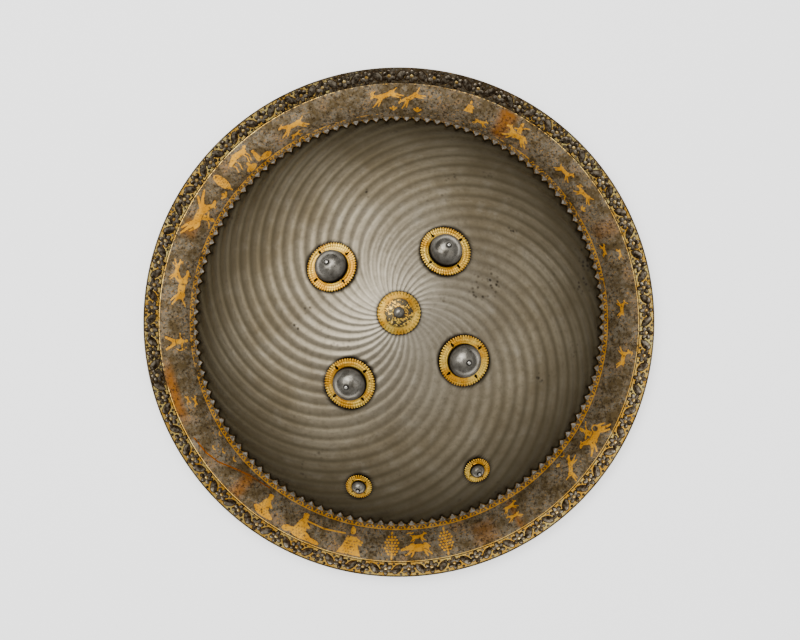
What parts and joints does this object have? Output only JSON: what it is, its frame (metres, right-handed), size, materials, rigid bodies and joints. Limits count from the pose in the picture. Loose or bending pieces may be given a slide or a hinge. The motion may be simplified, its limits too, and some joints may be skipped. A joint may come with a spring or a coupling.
{
  "type": "steel buckler shield",
  "caption": "Round convex steel shield with spiral flutes, a toothed and flowered rim band inlaid in gold, gilded boss washers with steel domes, and a plain hollow back.",
  "frame": {"origin": "centre of the ring under the rim that the shield rests on, at the height of that ring", "axes": "+Z out of the front face along the shield's axis, +Y to its top as worn, away from the two small strap bosses"},
  "size_m": [0.44, 0.4394, 0.0924],
  "materials": {
    "patinated_steel": "grey-brown patinated steel, polished on the ribs",
    "russet_steel": "dark russet steel with worn gold inlay",
    "polished_steel": "polished steel",
    "gilding": "worn fire gilding"
  },
  "bodies": {
    "root": {"bowl": "patinated_steel", "rim_band": "russet_steel", "crown_rosette": "gilding", "crown_knob": "polished_steel", "grip_washer_1": "gilding", "grip_washer_2": "gilding", "grip_washer_3": "gilding", "grip_washer_4": "gilding", "grip_cap_1": "polished_steel", "grip_cap_2": "polished_steel", "grip_cap_3": "polished_steel", "grip_cap_4": "polished_steel", "grip_rivet_1": "polished_steel", "grip_rivet_2": "polished_steel", "grip_rivet_3": "polished_steel", "grip_rivet_4": "polished_steel", "strap_washer_1": "gilding", "strap_washer_2": "gilding", "strap_cap_1": "polished_steel", "strap_cap_2": "polished_steel", "strap_rivet_1": "polished_steel", "strap_rivet_2": "polished_steel"}
  },
  "joints": []
}
